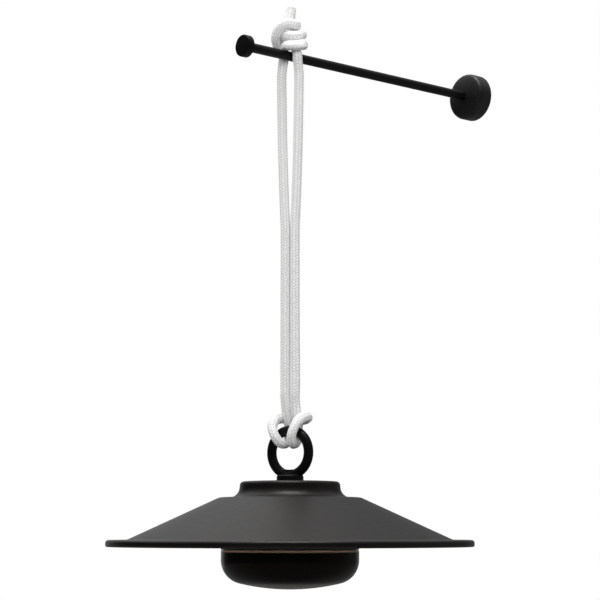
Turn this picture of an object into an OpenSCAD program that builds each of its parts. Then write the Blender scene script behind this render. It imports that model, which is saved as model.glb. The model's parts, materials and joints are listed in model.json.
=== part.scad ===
// Hanging outdoor lamp: a spun metal shade with a battery lamp body below it, held by an eye ring.
// A white rope loop carries the ring and is knotted over a straight wall rod with a stop disc.
// Millimetres, Z up. The origin is the middle of the wall plate's back, the rod runs along -Y.

/* [Wall rod] */
// Diameter of the rod
rod_d = 8; // [6:0.5:10]
// Distance from the wall to the outer face of the stop disc
reach = 277.5; // [260:0.5:320]
// Diameter of the stop disc on the rod's end
stop_d = 18.5; // [16:0.5:24]
// Thickness of the stop disc
stop_t = 6.4; // [5:0.2:9]
// Depth of the rod in the stop disc
stop_grip = 4; // [3:0.2:4.4]

/* [Wall cover] */
// Diameter of the domed cover at the wall
cover_d = 42; // [38:1:56]
// Height of the cover off the wall
cover_h = 17.2; // [16:0.1:22]
// Height of the cover's straight edge
cover_edge = 13.2; // [11:0.1:14]
// Wall of the cover
cover_wall = 1.2; // [0.8:0.1:1.6]
// Thickness of the screw plate under the cover
plate_t = 3.4; // [2.5:0.1:4]
// Diameter of the plate's boss round the rod
boss_d = 14; // [13:0.5:16]
// Distance between the two wall screws
screw_spacing = 24; // [22:0.5:25]
// Diameter of a wall screw hole
screw_hole_d = 4.4; // [3.5:0.1:5]
// Diameter of the small set screws
set_screw_d = 3; // [2.5:0.5:3]

/* [Rope] */
// Diameter of the rope
rope_d = 7.6; // [6:0.1:7.8]

/* [Eye ring] */
// Radius of the ring to the middle of its bar
ring_r = 18.3; // [17.8:0.1:22]
// Diameter of the ring's bar
ring_bar = 8; // [6:0.1:8.2]
// Turn of the ring's plane from the X axis in degrees
ring_turn = 15; // [15:1:15]
// Height of the flat floor inside the ring above the shade
floor_h = 9.7; // [8.5:0.1:11]
// Diameter of the ring's neck
neck_d = 22.2; // [18:0.2:26]
// Height of the neck
neck_h = 5.2; // [4:0.1:6]
// Diameter of the stud under the neck
stud_d = 8; // [6:0.5:9]

/* [Shade] */
// Outer radius of the shade
shade_r = 150; // [142:1:180]
// Radius at the foot of the cone
foot_r = 133; // [115:1:137]
// Distance from the lamp body's side out to the top of the cone
shoulder_step = 1.6; // [1.4:0.1:6]
// Radius of the hub at its foot
hub_r = 42; // [41.5:0.1:44]
// Radius of the hub below its top edge
hub_top_r = 40.9; // [40.6:0.1:41.4]
// Height of the lip at the shade's edge
lip_h = 5.6; // [4.5:0.1:8]
// Height of the flat shoulder above the lip's bottom
shoulder_z = 40; // [38:0.5:46]
// Height of the hub above the shoulder
hub_h = 13; // [13:0.1:16]
// Thickness of the shade's sheet
sheet_t = 1.5; // [1:0.1:1.6]

/* [Lamp body] */
// Outer radius of the lamp body
body_r = 56.4; // [55:0.2:58]
// Wall of the housing
house_wall = 2.5; // [2:0.1:3]
// Depth of the glass cup below the lip's bottom
cup_depth = 34.3; // [33:0.1:38]
// Wall of the glass cup
cup_wall = 2.4; // [2:0.1:3]
// Radius of the cup's shallow bottom
cup_dome_r = 179; // [120:1:220]
// Radius of the cup's lower corner
cup_corner_r = 19.5; // [17:0.5:22]
// Height of the collar on the cup inside the housing
collar_h = 8.3; // [8:0.1:9]
// Height of the visible seam between housing and cup
seam_gap = 0.4; // [0.2:0.1:0.8]

/* [Light and power] */
// Number of light diodes
led_count = 12; // [6:1:24]
// Radius of the circle of diodes
led_circle_r = 32; // [20:1:40]
// Diameter of one battery cell
cell_d = 18.4; // [18:0.1:18.6]
// Length of one battery cell
cell_l = 65.2; // [60:0.1:66]
// Thickness of the circuit boards
board_t = 1.6; // [1:0.1:1.6]
// Thickness of the heat spreader
spreader_t = 3; // [2:0.1:3.5]

/* [Controls] */
// Direction of the charging port from the X axis in degrees
port_turn = 150; // [145:1:165]
// Direction of the power button from the X axis in degrees
button_turn = 120; // [105:1:122]
// Width of the charging port's cover
flap_w = 15; // [14:0.2:16]
// Height of the charging port's cover
flap_h = 5.8; // [5.4:0.1:6]
// Diameter of the power button
button_d = 5.6; // [4.6:0.2:5.8]
// Travel of the power button
button_travel = 0.8; // [0.4:0.1:1]

/* [Clearances] */
// Radial gap round a part that slides or turns
run_gap = 0.15; // [0.1:0.01:0.2]
// Gap between fixed parts that face each other
fit_gap = 0.2; // [0.1:0.05:0.25]

/* [Hidden] */
$fn = 96;
eps = 0.01;

// Wall cover and plate
cap_h = cover_h - cover_edge;
cap_r = (pow(cover_d / 2, 2) + cap_h * cap_h) / (2 * cap_h);
cap_centre = cover_h - cap_r;
plate_d = cover_d - 2 * (cover_wall + fit_gap);
boss_h = cap_centre + sqrt(pow(cap_r - cover_wall, 2) - pow(boss_d / 2, 2)) - fit_gap;
rod_start = 1;
rod_end = reach - stop_t + stop_grip;

// The lamp hangs with its axis at hang_y and the middle of the ring's bar at bar_z
hang_y = -225;
bar_z = -316;
ring_z = ring_r + ring_bar / 2 + 1.4;
hub_z = shoulder_z + hub_h;
lamp_z = bar_z - ring_r - ring_z - hub_z;

// Shade section
shoulder_r = body_r + shoulder_step;
hub_fillet = 7;
hub_edge = 2.8;
lip_edge = 2.4;
hub_slope = (hub_r - hub_top_r) / (hub_h - hub_fillet - hub_edge);

// Housing stack, heights above the lip's bottom
seal_t = 0.8;
tower_top = hub_z - sheet_t - seal_t;
tower_t = 1.6;
tower_r = hub_top_r - sheet_t - 0.4;
tower_in = tower_r - 2;
gasket_t = 0.8;
gasket_w = 6;
drum_top = shoulder_z - sheet_t - gasket_t;
drum_roof = 2;
drum_in = body_r - house_wall;
drum_bottom = -2.3;
washer_t = 1.6;
nut_h = 6.5;
roof_z = drum_top - drum_roof;
tower_roof = tower_top - tower_t;

// Glass cup
cup_top = drum_bottom - seam_gap;
dome_centre = cup_dome_r - cup_depth;
corner_z = dome_centre - sqrt(pow(cup_dome_r - cup_corner_r, 2) - pow(body_r - cup_corner_r, 2));
corner_turn = asin((body_r - cup_corner_r) / (cup_dome_r - cup_corner_r));
collar_r = drum_in - fit_gap;
collar_in = collar_r - 3;
seal_d = 1.8;
seal_z = 0.9;
cup_screw_z = 3.9;

// Light engine and battery stack
spreader_z = 1;
spreader_r = collar_in - 0.4;
post_r = drum_in - 7.5;
post_d = 7;
cell_pitch = cell_d + 1;
cell_z = 24;
cradle_bottom = cell_z - cell_d / 2 - 3.8;
cradle_x = cell_l + 4.8;
cradle_y = 3 * cell_pitch + 3.8;
ear_r = drum_in - 6.8;
ear_turn = 58;
ear_x = ear_r * cos(ear_turn);
ear_y = ear_r * sin(ear_turn);
ear_z = cell_z - cell_d / 2 + 1.2;
ear_t = 3;
tab_t = 0.3;
tab_h = 7;
tab_over = 4;
pad_edge = 3;
chip = 3;
led_bite = 8;
cradle_bite = 7;
lead_d = 1.6;
lead_y = cradle_y / 2 + 3.2;

// Driver board and controls
usb_w = 8.94;
usb_h = 3.26;
usb_l = 7.3;
control_z = tower_roof - 3.1;
board_top = control_z - usb_h / 2;
board_r = tower_in - 1.5;
board_hole_r = 10;
lead_top = board_r - 3.3;
lead_start = cell_l / 2 + tab_t + lead_d / 2;
lead_z = cell_z + cell_d / 2 + lead_d / 2 + 0.3;
lead_side = 2;
lead_room = 1.2;
board_post_r = 20;
screw_m = 3;
head_d = 5.5;
head_h = 1.6;
button_tip = 1.6;
button_inner = tower_in - 1.6;
flange_t = 1.1;
flap_plug_w = flap_w - 3.2;
flap_plug_h = flap_h - 1.6;
flap_gap = fit_gap + 0.1;
cut_start = 20;
cut_run = 30;

// Rope: hand-picked points in the frame of the knot, at hang_y on the rod, from the first end down
front_run = [[-2, 3, 43.6], [-2.4, 1.8, 37], [-3.8, -0.2, 30.6], [-3.6, 0.2, 24.6], [-0.2, 2.4, 19.6],
    [3.2, 1.6, 14.4], [4.2, 0.8, 8.8], [7, 0.2, 4.6], [8.8, 0.4, -0.4], [8.8, 0.4, -4]];
// From the back strand up, round the knot and out to the second end
wrap_run = [[-8.8, -0.4, -4], [-9, 0, 0], [-5.8, -2.6, 6], [-0.2, -6.2, 8.4], [7.2, -8, 6.8],
    [13.4, -5.2, 6], [15, 0.8, 7.6], [10.2, 6.8, 9.6], [3.4, 9.6, 11.2], [-2.2, 7.6, 12.2],
    [-6, 2.8, 13.4], [-5, -2.8, 15.6], [0.8, -6.4, 16.6], [7.6, -6.6, 15.2], [11.4, -2.6, 14.8],
    [11.6, 3.4, 17.2], [5.6, 9.2, 19.2], [-3.4, 11, 19.8], [-11.8, 7.6, 17.2], [-14.4, 1.2, 12.8],
    [-11.4, -6.6, 11.6], [-6.4, -12.2, 15.6], [-1.4, -13.2, 21.2], [2.8, -11.6, 25], [5.2, -7, 26.4],
    [5.8, -1.2, 26.4], [2.8, 5.2, 27.6], [-4.2, 8.4, 28.6], [-8.8, 8.2, 32.8], [-9.2, 8, 38],
    [-8.4, 8, 42]];
// The front strand from below the rod to the ring and once over it, in the frame of the ring's bar
front_side = [[8.8, 0, 301], [8.8, 0, 291], [8, 0, 248], [6.6, 0, 206], [5.6, 0, 184], [4.8, 0, 165],
    [4.8, 0, 100], [5.2, 0, 40], [4.6, -0.4, 27], [3.2, -3.6, 15], [2.4, -8, 4.4], [2.6, -7.8, -5.6],
    [4, -1.6, -10.6], [5.8, 5.6, -10.4], [8, 9.6, -4.6], [10.2, 8.2, 2.4], [11.2, 3.1, 8.2],
    [11.3, -4.9, 10.8], [8.8, -12.4, 10.8], [3.8, -16.2, 9.9]];
// The back strand in the same frame
back_side = [[-8.8, 0, 301], [-8.8, 0, 291], [-8, 0, 248], [-6.6, 0, 206], [-5.6, 0, 184],
    [-4.8, 0, 165], [-4.8, 0, 100], [-4.8, 0, 40], [-5, -0.4, 27], [-5.6, -3.8, 15], [-6.2, -8.2, 4.4],
    [-6.4, -8.6, -4.6], [-5.6, -2.4, -10.4], [-6.2, 5.4, -10.4], [-8.4, 9.8, -5], [-12, 8.4, 2.2],
    [-13.8, 3, 8], [-14.2, -5, 10.4], [-11.8, -12.4, 10.8], [-6.6, -16, 9.8]];
side_middle = [-1.4, -17, 9.4];
rope_sides = 8;
cut_r = 13.9;
cut_gap = 0.5;

// A point of the knot in the part's frame
function at_knot(p) = [p[0], p[1] + hang_y, p[2]];

// A point near the ring's bar in the part's frame: along the bar, towards the front, up
function at_bar(p) = [p[0] * cos(ring_turn) + p[1] * sin(ring_turn),
    p[0] * sin(ring_turn) - p[1] * cos(ring_turn) + hang_y, p[2] + bar_z];

// The loop's points: down the front strand, over the ring and up the back strand
loop_run = concat([for (p = front_side) at_bar(p)], [at_bar(side_middle)],
    [for (i = [len(back_side) - 1:-1:0]) at_bar(back_side[i])]);

// Catmull-Rom curve through points p, with n steps between two of them
function blend(a, b, c, d, t) = 0.5 * (2 * b + (c - a) * t + (2 * a - 5 * b + 4 * c - d) * t * t
    + (3 * b - a - 3 * c + d) * t * t * t);
function smooth(p, n) = let (m = len(p), q = concat([2 * p[0] - p[1]], p, [2 * p[m - 1] - p[m - 2]]))
    concat([for (i = [0:m - 2]) for (k = [0:n - 1]) blend(q[i], q[i + 1], q[i + 2], q[i + 3], k / n)],
        [p[m - 1]]);

function unit(v) = v / norm(v);
function dir(p, i) = unit(p[min(i + 1, len(p) - 1)] - p[max(i - 1, 0)]);

// A normal at each point of path p that doesn't twist
function normals(p) = [for (i = 0, n = unit(cross(dir(p, 0), [0.3, 1, 0.2])); i < len(p);
    i = i + 1, n = unit(n - (n * dir(p, min(i, len(p) - 1))) * dir(p, min(i, len(p) - 1)))) n];

// The tube's rings along path p
function tube_rings(p) = let (n = normals(p)) [for (i = [0:len(p) - 1]) let (b = cross(dir(p, i), n[i]))
    [for (k = [0:rope_sides - 1]) let (a = 360 * k / rope_sides)
        p[i] + rope_d / 2 * (cos(a) * n[i] + sin(a) * b)]];

// A point slid up or down onto the cylinder of radius r about the rod
function on_cut(v, r) = [v[0], v[1], -sqrt(r * r - v[0] * v[0])];

// One ring with its height on that cylinder
function cut_ring(ring, r) = [for (v = ring) on_cut(v, r)];

// The middle of a ring
function middle(ring) = [for (j = [0:2]) [for (v = ring) v[j]] * [for (v = ring) 1 / rope_sides]];

// A closed tube through the rings, with a fan of faces to the given middle point at each end
module tube(rings, first, last) {
    m = len(rings);
    s = rope_sides;
    polyhedron(concat([for (ring = rings) for (v = ring) v], [first, last]), concat(
        [for (i = [0:m - 2]) for (k = [0:s - 1]) [i * s + k, (i + 1) * s + k, i * s + (k + 1) % s]],
        [for (i = [0:m - 2]) for (k = [0:s - 1]) [(i + 1) * s + k, (i + 1) * s + (k + 1) % s,
            i * s + (k + 1) % s]],
        [for (k = [0:s - 1]) [k, (k + 1) % s, m * s]],
        [for (k = [0:s - 1]) [(m - 1) * s + (k + 1) % s, (m - 1) * s + k, m * s + 1]]));
}

// Least gap of the whole rope to itself, measured between points further apart than two diameters
knot_front = smooth([for (p = front_run) at_knot(p)], 4);
knot_wrap = smooth([for (p = wrap_run) at_knot(p)], 4);
loop_curve = smooth(loop_run, 4);
rope_curve = concat(knot_front, loop_curve, knot_wrap);
skip = 8;
rope_gap = min([for (i = [0:len(rope_curve) - 1]) for (j = [i + skip:1:len(rope_curve) - 1])
    norm(rope_curve[i] - rope_curve[j])]) - rope_d;
rope_length = [for (i = [1:len(rope_curve) - 1]) norm(rope_curve[i] - rope_curve[i - 1])]
    * [for (i = [1:len(rope_curve) - 1]) 1];
echo(least_gap = rope_gap, length = rope_length);

// Children placed in the lamp's own frame, with Z 0 at the bottom of the lip
module at_lamp() {
    translate([0, hang_y, lamp_z]) children();
}

// Children turned so that +Y points outwards in the given direction
module facing(turn) {
    rotate([0, 0, turn - 90]) children();
}

// A solid turned about the rod's axis, drawn with X as the radius and Y as the distance from the wall
module about_rod() {
    rotate([90, 0, 0]) rotate_extrude() children();
}

module four_posts(r) {
    for (turn = [0, 90, 180, 270]) rotate([0, 0, turn]) translate([r, 0, 0]) children();
}

module three_posts(r) {
    for (turn = [30, 180, 300]) rotate([0, 0, turn]) translate([r, 0, 0]) children();
}

module four_ears() {
    for (x = [-ear_x, ear_x]) for (y = [-ear_y, ear_y]) translate([x, y, 0]) children();
}

// A cap-head screw with its head's underside at Z 0 and the shank going up
module screw_up(length) {
    cylinder(d = screw_m, h = length);
    translate([0, 0, -head_h]) difference() {
        cylinder(d = head_d, h = head_h);
        translate([0, 0, -1]) cylinder(d = 2.5, h = 1.9, $fn = 6);
    }
}

module wall_plate() {
    color("dimgray") difference() {
        union() {
            rotate([90, 0, 0]) cylinder(d = plate_d, h = plate_t);
            rotate([90, 0, 0]) cylinder(d = boss_d, h = boss_h);
        }
        translate([0, -rod_start, 0]) rotate([90, 0, 0]) cylinder(d = rod_d, h = boss_h);
        for (x = [-1, 1]) translate([x * screw_spacing / 2, eps, 0]) rotate([90, 0, 0])
            cylinder(d = screw_hole_d, h = plate_t + 1);
        translate([0, -(plate_t + boss_h) / 2, 0]) cylinder(d = set_screw_d, h = boss_d);
        translate([-plate_d / 2 - 1, -plate_t / 2, 0]) rotate([0, 90, 0])
            cylinder(d = set_screw_d - 0.6, h = 5);
    }
}

module rod_set_screw() {
    color("gray") translate([0, -(plate_t + boss_h) / 2, rod_d / 2]) difference() {
        cylinder(d = set_screw_d - 0.1, h = (boss_d - rod_d) / 2);
        translate([0, 0, 1.4]) cylinder(d = 1.6, h = 3, $fn = 6);
    }
}

module wall_cover() {
    color([0.05, 0.05, 0.05]) difference() {
        intersection() {
            about_rod() square([cover_d / 2, cover_h]);
            translate([0, -cap_centre, 0]) sphere(r = cap_r);
        }
        intersection() {
            about_rod() translate([0, -eps]) square([cover_d / 2 - cover_wall, cover_h]);
            translate([0, -cap_centre, 0]) sphere(r = cap_r - cover_wall);
        }
        rotate([90, 0, 0]) cylinder(d = rod_d + 2 * run_gap, h = cover_h + 1);
        translate([-cover_d / 2 - 1, -plate_t / 2, 0]) rotate([0, 90, 0])
            cylinder(d = set_screw_d, h = 4);
    }
}

module cover_screw() {
    length = cover_wall + fit_gap + 2.4;
    color("gray") translate([-cover_d / 2 + 0.3, -plate_t / 2, 0]) rotate([0, 90, 0]) difference() {
        cylinder(d = set_screw_d - 0.7, h = length);
        translate([0, 0, -1]) cylinder(d = 1.3, h = 2.2, $fn = 6);
    }
}

module support_rod() {
    color([0.05, 0.05, 0.05]) translate([0, -rod_start, 0]) rotate([90, 0, 0])
        cylinder(d = rod_d, h = rod_end - rod_start);
}

module rod_stop() {
    edge = 0.5;
    color([0.05, 0.05, 0.05]) translate([0, -reach + stop_t, 0]) difference() {
        about_rod() polygon([[0, 0], [stop_d / 2 - edge, 0], [stop_d / 2, edge],
            [stop_d / 2, stop_t - edge], [stop_d / 2 - edge, stop_t], [0, stop_t]]);
        translate([0, eps, 0]) rotate([90, 0, 0]) cylinder(d = rod_d, h = stop_grip + eps);
    }
}

module rope_knot() {
    front = tube_rings(smooth([for (p = front_run) at_knot(p)], 3));
    wrap = tube_rings(smooth([for (p = wrap_run) at_knot(p)], 3));
    low = front[len(front) - 1];
    color([0.93, 0.93, 0.92]) {
        tube(concat(front, [cut_ring(low, cut_r)]), middle(front[0]), on_cut(middle(low), cut_r));
        tube(concat([cut_ring(wrap[0], cut_r)], wrap), on_cut(middle(wrap[0]), cut_r),
            middle(wrap[len(wrap) - 1]));
    }
}

module rope_loop() {
    rings = tube_rings(smooth(loop_run, 3));
    last = rings[len(rings) - 1];
    r = cut_r + cut_gap;
    color([0.93, 0.93, 0.92]) tube(concat([cut_ring(rings[0], r)], rings, [cut_ring(last, r)]),
        on_cut(middle(rings[0]), r), on_cut(middle(last), r));
}

module eye_ring() {
    web = ring_bar * 0.8;
    stack = sheet_t + seal_t + tower_t + washer_t + nut_h;
    color([0.05, 0.05, 0.05]) at_lamp() translate([0, 0, hub_z]) rotate([0, 0, ring_turn]) union() {
        translate([0, 0, ring_z]) rotate([90, 0, 0]) rotate_extrude()
            translate([ring_r, 0]) circle(d = ring_bar, $fn = 48);
        cylinder(d = neck_d, h = neck_h);
        intersection() {
            translate([0, web / 2, ring_z]) rotate([90, 0, 0]) cylinder(r = ring_r + 0.5, h = web);
            translate([-neck_d, -web, 0]) cube([2 * neck_d, 2 * web, floor_h]);
        }
        translate([0, 0, -stack - 1]) cylinder(d = stud_d, h = stack + 2);
    }
}

module eye_seal() {
    color("black") at_lamp() translate([0, 0, tower_top]) difference() {
        cylinder(d = neck_d, h = seal_t);
        translate([0, 0, -1]) cylinder(d = stud_d + 2 * fit_gap, h = seal_t + 2);
    }
}

module eye_washer() {
    color("silver") at_lamp() translate([0, 0, tower_roof - washer_t]) difference() {
        cylinder(d = 2 * stud_d, h = washer_t);
        translate([0, 0, -1]) cylinder(d = stud_d + 2 * fit_gap, h = washer_t + 2);
    }
}

module eye_nut() {
    color("silver") at_lamp() translate([0, 0, tower_roof - washer_t - nut_h]) difference() {
        cylinder(d = 1.85 * stud_d, h = nut_h, $fn = 6);
        translate([0, 0, -1]) cylinder(d = stud_d, h = nut_h + 2);
    }
}

// Points of an arc about c of radius r from angle a to b
function arc(c, r, a, b, n) = [for (i = [0:n]) let (t = a + (b - a) * i / n) c + r * [cos(t), sin(t)]];

// The shade's outer section, moved inwards by g along its surface
function shade_line(g) = let (
        fall = atan((shoulder_z - lip_h) / (foot_r - shoulder_r)),
        knee = g * tan(fall / 2))
    concat(
        [[0, hub_z - g]],
        arc([hub_top_r - hub_edge, hub_z - hub_edge], max(hub_edge - g, 0.2), 90, 0, 5),
        arc([hub_r + hub_fillet, shoulder_z + hub_fillet], hub_fillet + g, 180, 270, 8),
        [[shoulder_r - knee, shoulder_z - g], [foot_r - knee, lip_h - g]],
        arc([shade_r - lip_edge, lip_h - lip_edge], lip_edge - g, 90, 0, 5),
        [[shade_r - g, 0]]);

module shade_section() {
    outer = shade_line(0);
    inner = shade_line(sheet_t);
    polygon(concat(outer, [for (i = [len(inner) - 1:-1:0]) inner[i]]));
}

module shade() {
    color([0.2, 0.2, 0.2]) at_lamp() difference() {
        rotate_extrude($fn = 144) shade_section();
        cylinder(d = stud_d + 2 * fit_gap, h = hub_z + 1);
        facing(port_turn) translate([-flap_w / 2 - flap_gap, cut_start,
            control_z - flap_h / 2 - flap_gap])
            cube([flap_w + 2 * flap_gap, cut_run, flap_h + 2 * flap_gap]);
        facing(button_turn) translate([0, cut_start, control_z]) rotate([-90, 0, 0])
            cylinder(d = button_d + 2 * run_gap, h = cut_run);
    }
}

module shade_gasket() {
    color("black") at_lamp() translate([0, 0, drum_top]) difference() {
        cylinder(r = body_r - 1.5, h = gasket_t);
        translate([0, 0, -1]) cylinder(r = body_r - 1.5 - gasket_w, h = gasket_t + 2);
    }
}

module upper_housing() {
    color([0.06, 0.06, 0.06]) at_lamp() difference() {
        union() {
            rotate_extrude() polygon([[body_r, drum_bottom], [body_r, drum_top], [tower_r, drum_top],
                [tower_r, tower_top - 1], [tower_r - 1, tower_top], [0, tower_top], [0, tower_roof],
                [tower_in, tower_roof], [tower_in, roof_z], [drum_in, roof_z], [drum_in, drum_bottom]]);
            four_posts(post_r) translate([0, 0, spreader_z + spreader_t])
                cylinder(d = post_d, h = roof_z - spreader_z - spreader_t + 0.5);
            four_ears() translate([0, 0, ear_z + ear_t])
                cylinder(d = post_d, h = roof_z - ear_z - ear_t + 0.5);
            three_posts(board_post_r) translate([0, 0, board_top])
                cylinder(d = post_d, h = tower_roof - board_top + 0.5);
        }
        cylinder(d = stud_d + 2 * fit_gap, h = hub_z);
        four_posts(post_r) translate([0, 0, spreader_z]) cylinder(d = screw_m + 0.1, h = 14);
        four_ears() translate([0, 0, ear_z]) cylinder(d = screw_m + 0.1, h = 12);
        three_posts(board_post_r) translate([0, 0, board_top - 1])
            cylinder(d = screw_m + 0.1, h = tower_top - board_top);
        facing(port_turn) translate([-flap_plug_w / 2 - flap_gap, cut_start,
            control_z - flap_plug_h / 2 - flap_gap])
            cube([flap_plug_w + 2 * flap_gap, cut_run, flap_plug_h + 2 * flap_gap]);
        facing(button_turn) translate([0, cut_start, control_z]) rotate([-90, 0, 0])
            cylinder(d = button_d + 2 * run_gap, h = cut_run);
        for (turn = [30, 150, 270]) facing(turn) translate([0, drum_in - 2, cup_screw_z])
            rotate([-90, 0, 0]) cylinder(d = set_screw_d, h = house_wall + 4);
    }
}

module driver_board() {
    color("darkgreen") at_lamp() translate([0, 0, board_top - board_t]) difference() {
        cylinder(r = board_r, h = board_t);
        translate([0, 0, -1]) cylinder(r = board_hole_r, h = board_t + 2);
        three_posts(board_post_r) translate([0, 0, -1]) cylinder(d = screw_m + 0.2, h = board_t + 2);
        facing(button_turn) translate([-button_d / 2 - 3, button_inner - 1.6, -1])
            cube([button_d + 6, 10, board_t + 2]);
    }
}

module board_screws() {
    color("silver") at_lamp() translate([0, 0, board_top - board_t]) three_posts(board_post_r)
        screw_up(tower_roof - board_top + board_t + 0.4);
}

module usb_port() {
    color("silver") at_lamp() facing(port_turn) translate([-usb_w / 2, tower_in - 0.6 - usb_l, board_top])
        difference() {
            cube([usb_w, usb_l, usb_h]);
            translate([0.35, 1, 0.35]) cube([usb_w - 0.7, usb_l, usb_h - 0.7]);
            translate([1.2, -1, 0.9]) cube([usb_w - 2.4, 0.1, usb_h - 1.8]);
        }
}

module power_switch() {
    plunger = button_inner - button_travel - 0.3;
    color("black") at_lamp() facing(button_turn) {
        translate([-3, plunger - 5, board_top]) cube([6, 4, 2 * (control_z - board_top)]);
        translate([0, plunger - 2, control_z]) rotate([-90, 0, 0]) cylinder(d = 2.4, h = 2);
    }
}

module power_button() {
    outer = hub_r + button_tip;
    color([0.08, 0.08, 0.08]) at_lamp() facing(button_turn) translate([0, 0, control_z])
        rotate([-90, 0, 0]) {
            translate([0, 0, button_inner]) cylinder(d = button_d, h = outer - button_inner - 0.5);
            translate([0, 0, outer - 0.5]) cylinder(d1 = button_d, d2 = button_d - 1.2, h = 0.5);
            translate([-button_d / 2 - 1.5, -button_d / 2 + 0.4, button_inner])
                cube([button_d + 3, button_d - 0.8, flange_t]);
        }
}

module port_cover() {
    color([0.08, 0.08, 0.08]) at_lamp() {
        intersection() {
            rotate_extrude($fn = 144) shade_section();
            facing(port_turn) translate([-flap_w / 2, cut_start, control_z - flap_h / 2])
                cube([flap_w, cut_run, flap_h]);
        }
        facing(port_turn) translate([-flap_plug_w / 2, tower_in + 0.8, control_z - flap_plug_h / 2])
            cube([flap_plug_w - 0.5, hub_top_r - 0.6 - tower_in - 0.8, flap_plug_h]);
    }
}

module battery_cells() {
    color("steelblue") at_lamp() for (i = [-1:1]) translate([-cell_l / 2, i * cell_pitch, cell_z])
        rotate([0, 90, 0]) cylinder(d = cell_d, h = cell_l);
}

module cell_tabs() {
    color("silver") at_lamp() for (x = [-cell_l / 2 - tab_t, cell_l / 2])
        translate([x, -cell_pitch - tab_over, cell_z - tab_h / 2])
            cube([tab_t, 2 * (cell_pitch + tab_over), tab_h]);
}

module cell_pad() {
    low = cell_z + cell_d / 2;
    pad_x = cell_l / 2 - pad_edge;
    pad_y = cell_pitch + cell_d / 2 - pad_edge / 4;
    color("gray") at_lamp() difference() {
        translate([-pad_x, -pad_y, low]) cube([2 * pad_x, 2 * pad_y, roof_z - low]);
        for (turn = [0, 180]) rotate([0, 0, turn])
            translate([min(lead_start, lead_top) - lead_room, lead_side - lead_room, low - 1])
                cube([abs(lead_start - lead_top) + 2 * lead_room, 2 * lead_room, roof_z - low + 2]);
    }
}

module battery_cradle() {
    color("white") at_lamp() difference() {
        union() {
            translate([-cradle_x / 2, -cradle_y / 2, cradle_bottom])
                cube([cradle_x, cradle_y, cell_z - cell_d / 4 - cradle_bottom]);
            for (x = [-ear_x, ear_x]) translate([x - 4, -ear_y - 4, ear_z]) cube([8, 2 * ear_y + 8, ear_t]);
        }
        for (i = [-1:1]) translate([-cell_l / 2 - tab_t - 0.1, i * cell_pitch, cell_z]) rotate([0, 90, 0])
            cylinder(d = cell_d + 0.2, h = cell_l + 2 * tab_t + 0.2);
        four_ears() translate([0, 0, ear_z - 1]) cylinder(d = screw_m + 0.2, h = ear_t + 2);
    }
}

module cradle_screws() {
    color("silver") at_lamp() translate([0, 0, ear_z]) four_ears() screw_up(ear_t + cradle_bite);
}

module battery_leads() {
    low = min(lead_start, lead_top);
    lead_end = board_top - board_t;
    color("red") at_lamp() for (turn = [0, 180]) rotate([0, 0, turn]) translate([0, lead_side, 0]) {
        translate([lead_start, 0, cell_z]) cylinder(d = lead_d, h = lead_z + lead_d / 2 - cell_z);
        translate([low, 0, lead_z]) rotate([0, 90, 0])
            cylinder(d = lead_d - 0.1, h = abs(lead_start - lead_top));
        translate([lead_top, 0, lead_z - lead_d / 2]) cylinder(d = lead_d, h = lead_end - lead_z + lead_d / 2);
    }
}

module led_leads() {
    color("red") at_lamp() for (x = [-1.6, 1.6]) translate([x, lead_y, spreader_z])
        cylinder(d = lead_d, h = board_top - board_t - spreader_z);
}

module heat_spreader() {
    color("silver") at_lamp() translate([0, 0, spreader_z]) difference() {
        cylinder(r = spreader_r, h = spreader_t);
        four_posts(post_r) translate([0, 0, -1]) cylinder(d = screw_m + 0.2, h = spreader_t + 2);
        translate([-3, lead_y - 1.4, -1]) cube([6, 2.8, spreader_t + 2]);
    }
}

module led_board() {
    color("white") at_lamp() translate([0, 0, spreader_z - board_t]) difference() {
        cylinder(r = spreader_r - 1, h = board_t);
        four_posts(post_r) translate([0, 0, -1]) cylinder(d = screw_m + 0.2, h = board_t + 2);
    }
}

module led_chips() {
    color("lightyellow") at_lamp() for (i = [0:led_count - 1]) rotate([0, 0, i * 360 / led_count])
        translate([led_circle_r - chip / 2, -chip / 2, spreader_z - board_t - 0.7])
            cube([chip, chip, 0.7]);
}

module led_screws() {
    color("silver") at_lamp() translate([0, 0, spreader_z - board_t]) four_posts(post_r)
        screw_up(board_t + spreader_t + led_bite);
}

module glass_cup() {
    outer = concat(arc([body_r - cup_corner_r, corner_z], cup_corner_r, 0, -90 + corner_turn, 10),
        arc([0, dome_centre], cup_dome_r, -90 + corner_turn, -90, 5));
    inner = concat(arc([0, dome_centre], cup_dome_r - cup_wall, -90, -90 + corner_turn, 5),
        arc([body_r - cup_corner_r, corner_z], cup_corner_r - cup_wall, -90 + corner_turn, 0, 10));
    groove_r = collar_r - 1.7;
    collar_top = cup_top + collar_h;
    rim = [[collar_in, collar_top], [collar_r, collar_top], [collar_r, seal_z + 1.1],
        [groove_r, seal_z + 1.1], [groove_r, seal_z - 1.1], [collar_r, seal_z - 1.1],
        [collar_r, cup_top], [body_r, cup_top]];
    ledge = [[body_r - cup_wall, cup_top - 2.6], [collar_in, cup_top - 2.6]];
    color([0.1, 0.09, 0.08]) at_lamp() difference() {
        rotate_extrude($fn = 144) polygon(concat(rim, outer, inner, ledge));
        for (turn = [30, 150, 270]) facing(turn) translate([0, collar_r - 2.3, cup_screw_z])
            rotate([-90, 0, 0]) cylinder(d = set_screw_d, h = 5);
    }
}

module cup_seal() {
    color("black") at_lamp() translate([0, 0, seal_z]) rotate_extrude()
        translate([drum_in - seal_d / 2 - 0.05, 0]) circle(d = seal_d, $fn = 24);
}

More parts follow.
